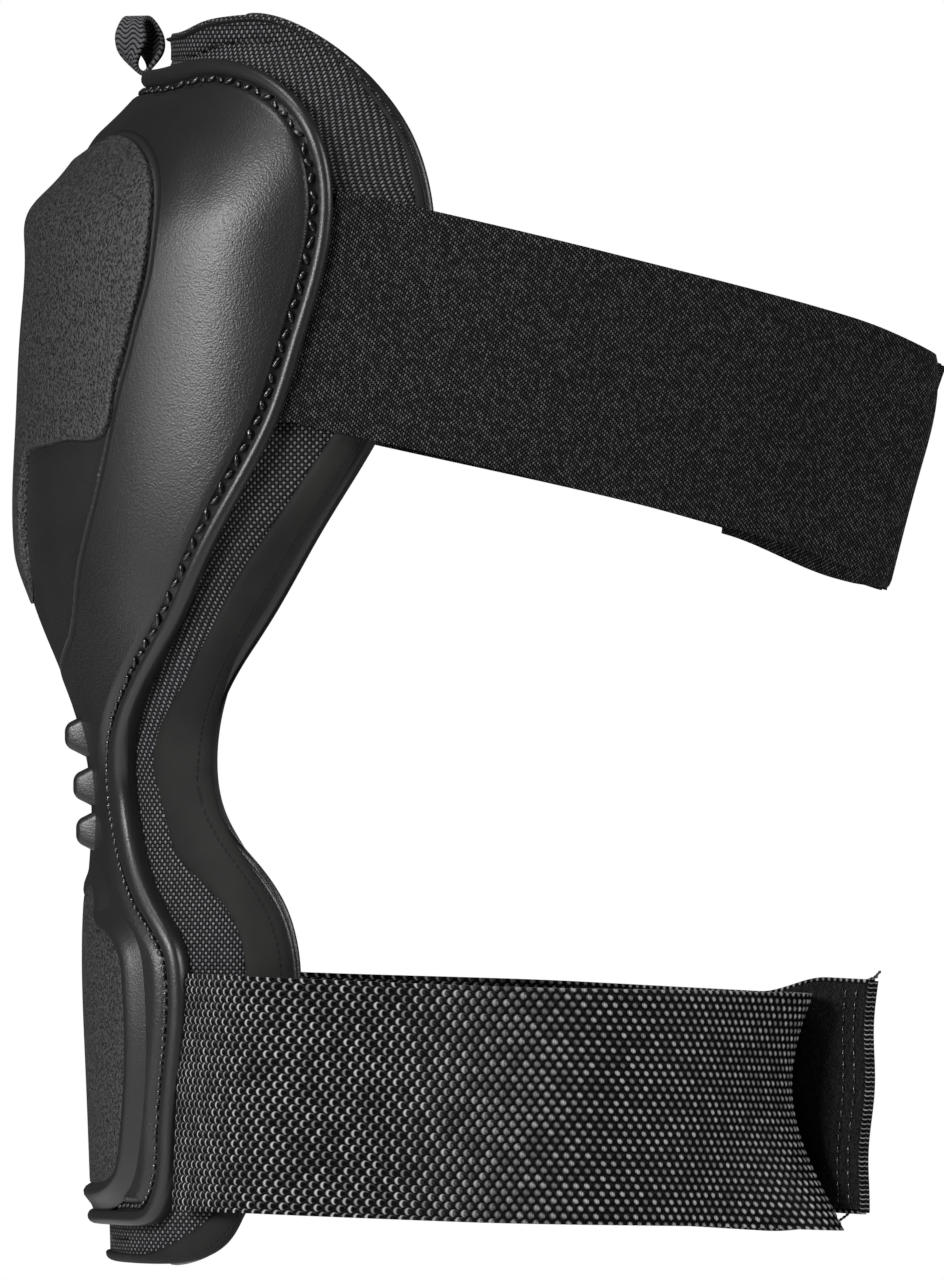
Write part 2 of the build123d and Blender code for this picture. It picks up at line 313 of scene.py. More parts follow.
def surface(name, points, u, v, material, extra=(), thick=0.0):
    """Piece made of one grid of points."""
    bm = bmesh.new()
    lattice(bm, points, u, v, extra)
    bmesh.ops.remove_doubles(bm, verts=bm.verts, dist=1e-6)
    return finish_mesh(bm, name, material, thick)


def mirrored(name, half, u, v, material):
    """Piece made of a border on one side and its mirror image, joined on the middle."""
    bm = bmesh.new()
    for flip in (1, -1):
        lattice(bm, half * (flip, 1, 1), u, v)
    bmesh.ops.remove_doubles(bm, verts=bm.verts, dist=1e-5)
    return finish_mesh(bm, name, material)


def capsules(name, spots, material, radius):
    """Short threads: (middle, direction, length) in millimetres, as one piece."""
    bm = bmesh.new()
    for middle, way, length in spots:
        way = Vector(way).normalized()
        turn = way.to_track_quat("X", "Z").to_matrix().to_4x4()
        size = Matrix.Diagonal((length / 2 * MM, radius * MM, radius * MM, 1))
        bmesh.ops.create_uvsphere(bm, u_segments=8, v_segments=6, radius=1,
                                  matrix=Matrix.Translation(Vector(middle) * MM) @ turn @ size)
    return finish_mesh(bm, name, material)


# -------------------- shader helper
class Value:
    """A number in a node tree, with arithmetic."""

    def __init__(self, tree, socket):
        self.tree, self.socket = tree, socket

    def math(self, operation, *others, flip=False):
        node = self.tree.nodes.new("ShaderNodeMath")
        node.operation = operation
        terms = (self, *others)
        for k, term in enumerate(reversed(terms) if flip else terms):
            feed(self.tree, term, node.inputs[k])
        return Value(self.tree, node.outputs[0])

    def __add__(self, o): return self.math("ADD", o)
    def __radd__(self, o): return self.math("ADD", o, flip=True)
    def __sub__(self, o): return self.math("SUBTRACT", o)
    def __rsub__(self, o): return self.math("SUBTRACT", o, flip=True)
    def __mul__(self, o): return self.math("MULTIPLY", o)
    def __rmul__(self, o): return self.math("MULTIPLY", o, flip=True)
    def __truediv__(self, o): return self.math("DIVIDE", o)
    def __pow__(self, o): return self.math("POWER", o)

    def fract(self): return self.math("FRACT")
    def floor(self): return self.math("FLOOR")
    def abs(self): return self.math("ABSOLUTE")
    def sin(self): return self.math("SINE")
    def least(self, o): return self.math("MINIMUM", o)
    def most(self, o): return self.math("MAXIMUM", o)

    def hump(self):
        """0 at the ends of each unit, 1 in its middle."""
        return 1 - (self.fract() * 2 - 1) ** 2

    def step(self, low, high):
        node = self.tree.nodes.new("ShaderNodeMapRange")
        node.interpolation_type = "SMOOTHSTEP"
        feed(self.tree, self, node.inputs["Value"])
        node.inputs["From Min"].default_value, node.inputs["From Max"].default_value = low, high
        return Value(self.tree, node.outputs["Result"])


def feed(tree, value, socket):
    """Link a Value to a socket, or set the socket to a constant."""
    if isinstance(value, Value):
        tree.links.new(value.socket, socket)
    else:
        socket.default_value = value


class Paint:
    """A material built from one Principled shader."""

    def __init__(self, name):
        self.material = bpy.data.materials.new(name)
        self.material.use_nodes = True
        self.tree = self.material.node_tree
        self.tree.nodes.clear()
        self.shader = self.tree.nodes.new("ShaderNodeBsdfPrincipled")
        output = self.tree.nodes.new("ShaderNodeOutputMaterial")
        self.tree.links.new(self.shader.outputs[0], output.inputs[0])

    def node(self, kind, outlet, settings=(), **inputs):
        node = self.tree.nodes.new(kind)
        for key, value in dict(settings).items():
            setattr(node, key, value)
        for key, value in inputs.items():
            feed(self.tree, value, node.inputs[key.replace("_", " ")])
        return Value(self.tree, node.outputs[outlet])

    def uv(self):
        both = self.node("ShaderNodeUVMap", "UV", {"uv_map": "UVMap"})
        return (self.node("ShaderNodeSeparateXYZ", "X", Vector=both),
                self.node("ShaderNodeSeparateXYZ", "Y", Vector=both))

    def place(self):
        return self.node("ShaderNodeTexCoord", "Object")

    def noise(self, scale, detail=2.0, rough=0.5):
        return self.node("ShaderNodeTexNoise", "Fac", Vector=self.place(), Scale=scale,
                         Detail=detail, Roughness=rough)

    def cells(self, scale, feature="F1"):
        return self.node("ShaderNodeTexVoronoi", "Distance", {"feature": feature},
                         Vector=self.place(), Scale=scale)

    def number(self, name):
        return self.node("ShaderNodeAttribute", "Fac", {"attribute_name": name})

    def chance(self, a, b):
        """Random number for each pair of whole numbers."""
        cell = self.node("ShaderNodeCombineXYZ", "Vector", X=a, Y=b)
        return self.node("ShaderNodeTexWhiteNoise", "Value", {"noise_dimensions": "2D"},
                         Vector=cell)

    def mix(self, factor, dark, light):
        node = self.tree.nodes.new("ShaderNodeMix")
        node.data_type = "RGBA"
        feed(self.tree, factor, node.inputs[0])
        for socket, colour in ((node.inputs[6], dark), (node.inputs[7], light)):
            if isinstance(colour, Value):
                self.tree.links.new(colour.socket, socket)
            else:
                socket.default_value = (*colour, 1)
        return Value(self.tree, node.outputs[2])

    def done(self, colour, rough, height=None, depth=0.1, specular=0.5, sheen=0.0):
        """Colour, roughness and a bump of the given depth in millimetres."""
        if isinstance(colour, Value):
            feed(self.tree, colour, self.shader.inputs["Base Color"])
        else:
            self.shader.inputs["Base Color"].default_value = (*colour, 1)
        feed(self.tree, rough, self.shader.inputs["Roughness"])
        self.shader.inputs["Specular IOR Level"].default_value = specular
        self.shader.inputs["Sheen Weight"].default_value = sheen
        if height is not None:
            bump = self.tree.nodes.new("ShaderNodeBump")
            bump.inputs["Strength"].default_value = 1.0
            bump.inputs["Distance"].default_value = depth * MM
            feed(self.tree, height, bump.inputs["Height"])
            self.tree.links.new(bump.outputs[0], self.shader.inputs["Normal"])
        return self.material


def weave(paint, u, v, pitch):
    """Plain weave: height of the yarns and the share of light they catch."""
    wobble = (paint.noise(900, 1) - 0.5) * 0.12
    cu, cv = u / pitch + wobble, v / pitch + wobble
    parity = ((cu.floor() + cv.floor()) / 2).fract() * 2
    warp = (cu.hump() ** 0.6) * (0.45 + 0.55 * cv.hump())
    weft = (cv.hump() ** 0.6) * (0.45 + 0.55 * cu.hump())
    return warp * parity + weft * (1 - parity), parity


def paints():
    """Every material of the guard, by name."""
    made = {}

    p = Paint("shell rubber")
    grain = p.cells(2300, "SMOOTH_F1") * 0.7 + p.noise(3600, 2) * 0.5
    seam = p.number("plate")
    low = p.node("ShaderNodeSeparateXYZ", "Z", Vector=p.place()).step(-0.0585, -0.0545)
    # painted shade: a thin band along the plate outline, above the waist, is coloured near black
    # (0.002); the same mask also sinks the groove in the bump and makes it rougher
    groove_and_shade = (1 - ((seam - 0.75).abs() / 0.85).least(1.0) ** 2) * low
    patch = p.noise(26, 3)
    tone = p.mix(groove_and_shade, p.mix(patch.step(0.3, 0.7), (0.010, 0.010, 0.0105), (0.016, 0.016, 0.017)),
                 (0.002, 0.002, 0.002))
    made["shell"] = p.done(tone, 0.30 + 0.14 * grain + 0.3 * groove_and_shade, grain * 0.085 - groove_and_shade * 0.8, 1.0)

    p = Paint("rim rubber")
    grain = p.noise(2200, 2)
    made["rim"] = p.done((0.013, 0.013, 0.0135), 0.32 + 0.10 * p.noise(60, 3), grain, 0.06)

    p = Paint("grip rubber")
    pebble = p.cells(1600, "SMOOTH_F1") * 0.9 + p.noise(2600, 2, 0.6) * 0.6
    # painted highlight: the raised pebbles are coloured lighter as glints, the rest stays near
    # black
    tone = p.mix(pebble.step(0.45, 0.85), (0.002, 0.002, 0.002), (0.040, 0.040, 0.041))
    made["grip"] = p.done(tone, 0.34 + 0.2 * pebble, pebble, 0.42, specular=0.45)

    p = Paint("base weave")
    u, v = p.uv()
    yarn, parity = weave(p, u, v, 0.78)
    luck = p.chance((u / 0.78).floor(), (v / 0.78).floor())
    glint = yarn.step(0.4, 0.95) * (0.55 + 0.45 * luck) * (0.12 + 0.88 * parity)
    made["fabric"] = p.done(p.mix(glint, (0.002, 0.002, 0.0024), (0.19, 0.19, 0.20)),
                            0.6, yarn, 0.25, specular=0.12)

    p = Paint("foam")
    u, v = p.uv()
    fine = p.noise(1900, 3, 0.65)
    line = (1 - ((v - 0.80).abs() / 0.035).least(1.0)) * (u / 1.6).fract().step(0.35, 0.5)
    tone = p.mix(p.noise(45, 3).step(0.3, 0.75), (0.006, 0.0059, 0.0057), (0.015, 0.0147, 0.014))
    made["foam"] = p.done(p.mix(line * 0.5, tone, (0.006, 0.006, 0.006)), 0.72 + 0.1 * fine,
                          fine * 0.06 - line * 0.25, 1.0, specular=0.25)

    p = Paint("liner knit")
    u, v = p.uv()
    knit = (u * 2.6).sin() * (v * 2.6).sin()
    hole = ((u / 5.2).hump() * ((v / 5.2).hump())).step(0.86, 0.93)
    quilt = p.number("channel")
    tone = p.mix(hole, p.mix(quilt, (0.016, 0.016, 0.017), (0.007, 0.007, 0.007)),
                 (0.002, 0.002, 0.002))
    made["liner"] = p.done(tone, 0.85, knit * 0.08 - hole * 0.6, 0.6, specular=0.15, sheen=0.1)

    p = Paint("thread")
    made["thread"] = p.done((0.009, 0.009, 0.0095), 0.26, p.noise(5200, 1), 0.04, specular=0.8)

    p = Paint("elastic twill")
    u, v = p.uv()
    shift = (p.noise(650, 1) - 0.5) * 0.5
    cu = u / 0.50 + shift
    cv = v / 0.85 + cu.floor() * 0.37 + shift * 0.6
    luck = p.chance(cu.floor(), cv.floor())
    tick = (cu.hump() ** 0.8) * (cv.hump() ** 0.8)
    glint = tick.step(0.35, 1.0) * (0.25 + 0.75 * luck * luck)
    made["twill"] = p.done(p.mix(glint, (0.0012, 0.0012, 0.0014), (0.125, 0.125, 0.13)),
                           0.7, tick, 0.2, specular=0.04)

    p = Paint("coarse webbing")
    u, v = p.uv()
    row = (v / 1.6).floor()
    cu = u + (row / 2).fract()
    fu, fv = cu.fract() * 2 - 1, (v / 1.6).fract() * 2 - 1
    luck = p.chance(cu.floor(), row)
    reach = (fu * fu + fv * fv) ** 0.5
    ring = (1 - ((reach - 0.82) / 0.30).abs().least(1.0)) ** 1.4
    # painted highlight: each cell ring is coloured brighter on its left side, where the light falls
    side = (0.35 - 0.65 * fu + 0.25 * fv).most(0.06).least(1.0)
    strand = ((u * 5.2).fract() * 2 - 1).abs()
    dense = u.step(24, 46)
    left = fu + 0.2 + fv * 0.25
    pad = (1 - (left * left * 3.6 + fv * fv * 1.7)).most(0.0) ** 0.8 * (0.45 + 0.55 * strand)
    bar = (1 - ((fu + 0.62 - 0.35 * fv * fv).abs() / 0.30).least(1.0)) * (1 - 0.5 * fv * fv)
    line = bar * 0.9 + ring * side * 0.35
    glint = (line * (1 - dense) + pad * dense) * (0.35 + 0.65 * luck)
    made["webbing"] = p.done(p.mix(glint, (0.0012, 0.0012, 0.0014), (0.50, 0.50, 0.51)),
                             0.5, p.number("yarn"), 0.06, specular=0.06)

    p = Paint("pile")
    fuzz = p.noise(2400, 4, 0.8) * 0.6 + p.cells(1700) * 0.6
    tone = p.mix(fuzz.step(0.35, 0.85), (0.002, 0.002, 0.002), (0.016, 0.016, 0.017))
    made["pile"] = p.done(tone, 0.92, fuzz, 0.8, specular=0.08, sheen=0.04)

    p = Paint("hooks")
    u, v = p.uv()
    hook = (u / 1.1).hump() * (v / 1.1).hump()
    made["hooks"] = p.done(p.mix(hook.step(0.3, 0.8), (0.006, 0.006, 0.006), (0.030, 0.030, 0.032)),
                           0.5, hook, 0.6)

    p = Paint("grosgrain")
    u, v = p.uv()
    rib = ((u + (v * 1.4).sin() * 0.5) / 0.95).hump()
    tone = p.mix(rib.step(0.3, 0.9), (0.003, 0.003, 0.003), (0.085, 0.085, 0.09))
    made["grosgrain"] = p.done(tone, 0.5, rib, 0.25, specular=0.1)
    return made


MATERIALS = {}


def paint(name):
    """Material by name, all of them made at the first call."""
    if not MATERIALS:
        MATERIALS.update(paints())
    return MATERIALS[name]


def flexing(obj):
    """Piece that runs over the waist, between the knee cup and the shin plate; its placement is
    baked into its mesh.
    """
    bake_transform(obj)


# -------------------- pieces
def panel_outline():
    """Half outline of the knee's textured panel with its tongue."""
    return Patch([*PANEL_BROW, *on_form(PANEL_TOP), *on_form(PANEL_FOOT), *TONGUE,
                  (0, -38.6)], 420)


def plate_outline():
    """Half outline that the thin groove follows, from the panel down to the waist."""
    return Patch([*PANEL_BROW, *on_form(PANEL_TOP), *on_form(FRONT_LINE),
                  (20, -66), (0, -67)], 420)


def build_shell(rows, cols):
    """Moulded shell and the bead round its edge."""
    edge = Edge(SHELL_EDGE, cols)
    rings = [(2.0, -1.15), (3.3, -1.2), (4.4, -1.2), (5.0, -0.75), (5.4, -0.25), (6.2, 0.0)]
    a, z, rise = fan(edge, rings, rows)
    a, z, rise = both_sides(a, z, rise)
    plate = plate_outline().signed(a, z)
    crown = 0.4 * np.exp(-((plate - 4.6) / 3.0) ** 2) * smooth(z, 34, 54)
    step = -0.35 * smooth(-plate, -0.5, 1.5) * smooth(z, -62, -50)
    rise = rise + (crown + step) * (rise > -0.01)
    obj = surface("shell_skin", skin(a, z, rise), a, z, paint("shell"), [("plate", plate)])
    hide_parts("knee_shell", "flex_shell", "shin_shell")
    flexing(obj)

    profile = [(0.2, -3.7), (0.0, -1.4), (0.1, 0.2), (0.5, 0.85), (1.1, 1.22), (1.7, 1.3),
               (2.3, 1.12), (2.8, 0.7), (3.1, 0.05), (3.25, -1.3)]
    band = [(*edge.ring(d), r) for d, r in profile]
    half = np.stack([skin(ga, gz, np.full_like(ga, r)) for ga, gz, r in band])
    rim = mirrored("shell_rim", half, np.arange(cols), np.linspace(0, 5, len(band))[:, None],
                   paint("rim"))
    flexing(rim)


def build_ribs():
    """Three rounded ribs across the waist."""
    bm = bmesh.new()
    for z, front in RIBS:
        made = bmesh.ops.create_cube(bm, size=2)["verts"]
        for vert in made:
            ahead = vert.co.y < 0
            vert.co = Vector((vert.co.x * (13.6 if ahead else 15.4),
                              front if ahead else front + 6.2,
                              z + vert.co.z * (2.3 if ahead else 5.4))) * MM
        edges = {e for vert in made for e in vert.link_edges}
        bmesh.ops.bevel(bm, geom=list(edges), offset=1.5 * MM, segments=5, profile=0.5,
                        affect="EDGES")
    obj = finish_mesh(bm, "flex_ribs", paint("rim"))
    flexing(obj)


def build_panels():
    """Textured knee and shin panels, and the ridge that frames the shin panel."""
    wall = [(-0.05, -0.6), (0.0, 0.7), (0.12, 1.15), (0.45, 1.42), (1.1, 1.5)]
    outline = panel_outline()
    a, z, rise = fan(outline, wall, 46)
    rise[len(wall):] = 1.5
    rise = rise * (0.2 + 0.8 * smooth(z, -39, -27))
    a, z, rise = both_sides(a, z, rise)
    knee = surface("knee_grip", skin(a, z, rise), a, z, paint("grip"))
    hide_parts("knee_grip_panel")
    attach(knee, "knee")

    shin_points = [(0, -101.2), (14, -101.8), *on_form(SHIN_PANEL), (10, -162), (0, -162.2)]
    outline = Patch(shin_points, 300)
    a, z, rise = fan(outline, [(-0.3, -0.3), (0.0, 0.25), (0.4, 0.55), (1.5, 0.6)], 34)
    rise[4:] = 0.6
    a, z, rise = both_sides(a, z, rise)
    shin = surface("shin_grip", skin(a, z, rise), a, z, paint("grip"))
    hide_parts("shin_grip_panel")
    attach(shin, "shin")

    profile = [(0.3, -0.5), (-0.1, 0.7), (-0.6, 1.5), (-1.4, 2.0), (-2.4, 1.9), (-3.4, 1.2),
               (-4.4, 0.45), (-5.4, 0.05), (-6.0, -0.3)]
    half = []
    for d, r in profile:
        ga, gz = outline.ring(d)
        half.append(skin(ga, gz, r * (1 - 0.6 * smooth(gz, -112, -101) * smooth(-ga, -24, -6))))
    ridge = mirrored("shin_ridge", np.stack(half), np.arange(300),
                     np.arange(len(profile))[:, None], paint("rim"))
    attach(ridge, "shin")


def build_rim_stitching(seed):
    """Uneven stitches in the groove inside the rim, closer together on the shin."""
    rng = random.Random(seed)
    edge = Edge(SHELL_EDGE, 1600)
    a, z = edge.ring(RIM + 1.05)
    line = skin(a, z, np.full_like(a, -0.55))
    outside = skin(a, z, np.full_like(a, 0.4)) - line
    steps = lengths(line)
    spots, at = [], 0.6
    while at < steps[-1] - 0.6:
        k = int(np.searchsorted(steps, at))
        height = line[k, 2]
        dense = smooth(-height, 40, 75)
        pitch = rng.uniform(2.9, 3.7) - 1.5 * dense
        way = line[min(k + 1, len(line) - 1)] - line[max(k - 1, 0)]
        way = way / np.linalg.norm(way)
        side = np.cross(outside[k], way)
        side /= np.linalg.norm(side)
        for flip in (1, -1):
            lean = (0.62 if len(spots) // 2 % 2 else -0.34) * (1 - 0.7 * dense)
            course = (way + side * lean) * (flip, 1, 1)
            middle = (line[k] + side * rng.uniform(-0.2, 0.2)) * (flip, 1, 1)
            spots.append((middle, course, pitch * rng.uniform(0.74, 0.95)))
        at += pitch
    obj = capsules("rim_stitches", spots, paint("thread"), 0.55)
    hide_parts("rim_stitching_knee", "rim_stitching_flex", "rim_stitching_shin")
    flexing(obj)


def partner(outer, inner):
    """For each point of the outer edge, the index of the inner edge point next to it."""
    index = [int(np.argmin(np.hypot(inner.a - a, inner.z - z))) for a, z in zip(outer.a, outer.z)]
    index = np.maximum.accumulate(np.array(index))
    index[0], index[-1] = 0, len(inner.a) - 1
    return index


def build_base_fabric(rows, cols):
    """Woven base, one sheet under the shell and out to its own edge."""
    edge = Edge(FABRIC_EDGE, cols)
    inset = (0, 0.6, 1.5, 3.0, 5.0)
    a, z, _ = fan(edge, [(d, 0) for d in inset], rows)
    reach = np.vstack([np.full(cols, d) for d in inset] + [np.full((rows, cols), 8.0)])
    a, z, reach = both_sides(a, z, reach)
    rise = -3.35 - 0.3 * (1 - smooth(reach, 0, 1.0)) + 2.3 * smooth(z, 72, 86) * (
        1 - smooth(reach, 0, 8))
    obj = surface("base_cloth", skin(a, z, rise), a, z, paint("fabric"))
    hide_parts("base_fabric_knee", "base_fabric_flex", "base_fabric_shin")
    flexing(obj)


def build_foam(cols):
    """Border of the foam body, from under the base's edge round to the liner."""
    cloth, lip = Edge(FABRIC_EDGE, 1400), Edge(LINER_EDGE, cols)
    match = partner(lip, cloth)
    in_a, in_z = cloth.ring(1.6)
    in_a, in_z = in_a[match], in_z[match]
    out_a, out_z = lip.ring(1.3)
    share = np.array([0, 0.0, 0.06, 0.16, 0.3, 0.5, 0.7, 0.85, 0.95, 1.0])[:, None]
    rise = np.array([-4.6, -3.3, -2.7, -2.45, -2.4, -2.5, -2.8, -3.3, -4.0, -5.0])[:, None]
    a = in_a + (out_a - in_a) * share
    z = in_z + (out_z - in_z) * share
    outer = skin(a, z, rise + 2.3 * smooth(z, 74, 86) + np.zeros_like(a))
    seam = Edge(LINER_EDGE, 1400, LINER_FRONT)
    index = partner(lip, seam)
    wall = base(*(side[index] for side in seam.ring(1.3)), LINER_SIDE, LINER_FRONT)
    inner = np.stack([outer[-1] + (wall - outer[-1]) * k for k in (0.35, 0.7, 1.0)])
    points = np.vstack([outer, inner])
    u = np.r_[0, np.cumsum(np.hypot(np.diff(out_a), np.diff(out_z)))] + np.zeros((len(points), 1))
    v = np.vstack([share, [[1.2], [1.4], [1.6]]]) + np.zeros_like(u)
    obj = mirrored("foam_border", points, u, v, paint("foam"))
    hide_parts("foam_knee", "foam_flex", "foam_shin")
    flexing(obj)


def build_liner(rows, cols):
    """Quilted liner and the thin lip round it."""
    edge = Edge(LINER_EDGE, cols, LINER_FRONT)
    inset = (0, 0.5, 1.5, 3.0, 5.0)
    a, z, _ = fan(edge, [(d, 0) for d in inset], rows)
    reach = np.vstack([np.full(cols, d) for d in inset]
                      + [5 + 60 * s * np.ones(cols) for s in np.linspace(0, 1, rows + 1)[1:]])
    a, z, reach = both_sides(a, z, reach)
    channel = np.exp(-((reach - 12) / 1.6) ** 2)
    for level in (34, -6, -62, -92):
        channel = np.maximum(channel, np.exp(-((z - level - 0.004 * a * a) / 1.8) ** 2)
                             * smooth(reach, 9, 13))
    lift = 1.6 * (channel - smooth(reach, 2, 10)) + 0.6
    obj = surface("liner_skin", skin(a, z, lift, LINER_SIDE, LINER_FRONT), a, z, paint("liner"),
                  [("channel", channel)])
    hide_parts("liner_knee", "liner_flex", "liner_shin")
    flexing(obj)

    profile = [(1.6, -0.2), (0.4, -0.1), (0.0, 0.5), (0.1, 1.2), (0.8, 1.7), (2.2, 1.8)]
    half = np.stack([skin(*edge.ring(d), np.full(cols, r), LINER_SIDE, LINER_FRONT)
                     for d, r in profile])
    lip = mirrored("liner_lip", half, np.arange(cols), np.arange(len(profile))[:, None],
                   paint("rim"))
    flexing(lip)


def build_pull_loop():
    """Ribbon loop, turned a little about its sewn foot."""
    around, across = 64, 12
    phi = np.linspace(0, 2 * np.pi, around)[None, :] + np.zeros((across, 1))
    wide = np.linspace(-4.0, 4.0, across)[:, None]
    narrow = 1 - 0.28 * smooth(-np.cos(phi), 0.2, 1.0)
    out = 3.5 * np.sin(phi) * (1 - 0.18 * np.cos(phi))
    up = 6.4 * (1 - np.cos(phi)) - 0.2
    turn = math.radians(52) * smooth(up, 0, 8)
    x = wide * narrow * np.cos(turn) - out * np.sin(turn)
    y = 8.4 + wide * narrow * np.sin(turn) + out * np.cos(turn) - 0.10 * up
    z = 74.2 + up
    length = phi * 5.2
    obj = surface("webbing_loop", np.stack([x, y, z], -1), length, wide + 0 * phi,
                  paint("grosgrain"), thick=1.0)
    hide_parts("pull_loop")
    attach(obj, "pull_tab")


# -------------------- straps
# at: depth, height and fall of the root. root, lead, near, far, close, run: the middle line in the
# strap's plane. grip: overlap of the halves. past: what the far half has beyond it. slip: shift of
# the fold across the width. arch, sag, dip, back, lift: how the edges rise and fall.
STRAPS = {
    "upper": dict(at=(46.1, 23.8, 15.0), root=(73.85, 0.0), lead=(73.85, -2.4), body="knee",
                  near=[(72.6, 36), (63, 71), (46, 99), (28, 121), (15.5, 132.2)],
                  close=(3.0, 125.4), run=(-0.741, -0.671), grip=43.0,
                  far=[(-73.2, 32), (-64, 66)], past=2.5, paint="twill", slot="elastic_twill",
                  slip=[(-25, -1.2), (0, -1.5), (19, -3.4), (25, -6.4)],
                  arch=2.2, sag=-0.9, dip=(2.6, -48, 4), back=3.2, lift=-1.6),
    "lower": dict(at=(18.9, -142.0, 2.4), root=(51.67, 0.0), lead=(49.9, -2.1), body="shin",
                  near=[(57, 12), (58.4, 24), (56.6, 46), (50.2, 76), (38.5, 103), (26.5, 120),
                        (15, 129.6)],
                  close=(4.0, 124.6), run=(-0.673, -0.740), grip=42.0,
                  far=[(-57, 12), (-58.4, 24), (-56.6, 44), (-49.6, 70)], past=21.5,
                  paint="webbing", slot="elastic_webbing",
                  slip=[(-25, 13.0), (-16, 5.5), (-6, -1.4), (6, -5.0), (16, -3.4), (25, 0.4)],
                  arch=0.0, sag=-0.7, dip=(1.1, 0, 14), back=0.0, lift=4.4),
}
FAR_MID = 4.25  # from the middle of the near half to the middle of the far half, at the closure
LINE_POINTS, TAPE_ROWS = 400, 60


def strap_frame(spec):
    """Root, backward direction and width direction of a strap."""
    depth, height, fall = spec["at"]
    fall = math.radians(fall)
    origin = np.array([0, depth, height])
    back = np.array([0, math.cos(fall), -math.sin(fall)])
    wide = np.array([0, math.sin(fall), math.cos(fall)])
    return origin, back, wide


def strap_line(spec, far, count):
    """Middle line of one half in the strap's own plane."""
    (x0, t0), (lx, lt) = spec["root"], spec["lead"]
    run, grip = np.array(spec["run"]), spec["grip"]
    normal = np.array([run[1], -run[0]])
    close = np.array(spec["close"])
    if far:
        start = close + run * grip + normal * FAR_MID
        points = [(-lx, lt), (-x0, t0), *spec["far"], start, start - run * 4]
        end = start - run * (grip + spec["past"])
    else:
        points = [(lx, lt), (x0, t0), *spec["near"], close, close + run * 3]
        end = close + run * grip
    return resample(np.vstack([curve(points, 500), end]), count)


def strap_points(spec, far, line, w, out):
    """Points of a half: rows across the width w, columns along the line, moved out sideways."""
    run = np.array(spec["run"])
    way = np.gradient(line, axis=0)
    way /= np.linalg.norm(way, axis=1, keepdims=True)
    side = np.stack([way[:, 1], -way[:, 0]], -1) * (-1 if far else 1)
    steps = lengths(line)
    spots = line[None] + side[None] * out[..., None]
    knots = np.array(spec["slip"])
    slip = natural(knots[:, 0], knots[:, 1])(w)[:, None]
    total = steps[-1]
    if far:
        move = slip * 0
        bend = total
        drop = ((spec["sag"] + spec["lift"]) * smooth(steps, total - 31, total - 12)
                - spec["sag"] * smooth(steps, 20, 90))
        ripple = 0.5 * np.sin(w[:, None] * 0.23 + 1.1) * smooth(steps, total - 18, total)
    else:
        move = slip * smooth(steps, total - spec["grip"] - 42, total - spec["grip"] - 6)
        bend = total - spec["grip"]
        drop = 0.9 * smooth(steps, 60, 130) - spec["dip"][0] * smooth(
            steps, bend + spec["dip"][1], bend + spec["dip"][2])
        drop = drop + spec["back"] * smooth(steps, bend + 4, total)
        ripple = 0 * slip
    drop = drop + spec["arch"] * np.sin(np.pi * np.clip(steps / bend, 0, 1))
    spots = spots - run * (move + ripple)[..., None]
    origin, back, wide = strap_frame(spec)
    return (origin + spots[..., :1] * np.array([1, 0, 0]) + spots[..., 1:] * back
            + (w[:, None] + drop)[..., None] * wide), steps


def cell_phase(s, total):
    """Number of cells from the sewn end: they are narrower near both ends of the elastic."""
    fine = np.linspace(0, total, 2000)
    pitch = 1.15 + 1.25 * smooth(fine, 4, 24) - 0.75 * smooth(fine, 84, 132)
    return np.interp(s, fine, np.cumsum(1 / pitch) * (fine[1] - fine[0]))


def yarn_height(phase, w, row):
    """Coarse weave: round cells staggered from row to row."""
    line = np.floor(w / row)
    along = 1 - np.abs(2 * ((phase + 0.5 * (line % 2)) % 1) - 1) ** 2.2
    over = 1 - np.abs(2 * ((w / row) % 1) - 1) ** 2.2
    return along * over


def build_strap_half(name, far, spec, cols, rows):
    """Band of one half: its face, its back and the edges between them."""
    line = strap_line(spec, far, cols)
    w = np.linspace(-25, 25, rows)
    coarse = spec["paint"] == "webbing"
    total = float(np.sum(np.linalg.norm(np.diff(line, axis=0), axis=1)))
    s = np.linspace(0, total, cols)[None, :] + 0 * w[:, None]
    u = cell_phase(s, total) if coarse else s
    yarn = yarn_height(u, w[:, None] + 0 * s, 1.6) if coarse else 0 * s
    edge = smooth(25 - np.abs(w), 0, 1.0)[:, None]
    out = 0.75 + 0.25 * edge + (0.42 * yarn if coarse else 0)
    face, _ = strap_points(spec, far, line, w, out)
    back, _ = strap_points(spec, far, line, w, -0.75 - 0.25 * edge + 0 * s)
    half = "far" if far else "near"
    bm = bmesh.new()
    lattice(bm, face, u, w[:, None], [("yarn", yarn)])
    lattice(bm, back[::3, ::3], u[::3, ::3], w[::3, None], [("yarn", 0.4 + 0 * u[::3, ::3])])
    side_bm(bm, face, back, u, w)
    obj = finish_mesh(bm, f"{name}_{half}_band", paint(spec["paint"]))
    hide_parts(f"{name}_strap_{half}")
    origin, back_way, _ = strap_frame(spec)
    sign = -1 if far else 1
    root = origin + np.array([spec["root"][0] * sign, 0, 0])
    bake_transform(obj)


def side_bm(bm, face, back, s, w):
    """Close the four edges between the two faces of a band."""
    for rows in ((face[0], back[0], s[0], w[0]), (face[-1], back[-1], s[-1], w[-1])):
        pair = np.stack([rows[0], rows[1]])
        lattice(bm, pair, rows[2], np.array([[rows[3]], [rows[3] + 1.5]]))
    for col in (0, -1):
        pair = np.stack([face[:, col], back[:, col]])
        lattice(bm, pair, w, np.array([[0.0], [1.5]]))


def build_straps():
    """Four strap halves, the coarse ones with their yarns modelled."""
    for name, spec in STRAPS.items():
        for far in (False, True):
            cols, rows = (400, 124) if spec["paint"] == "webbing" else (220, 40)
            build_strap_half(name, far, spec, cols, rows)


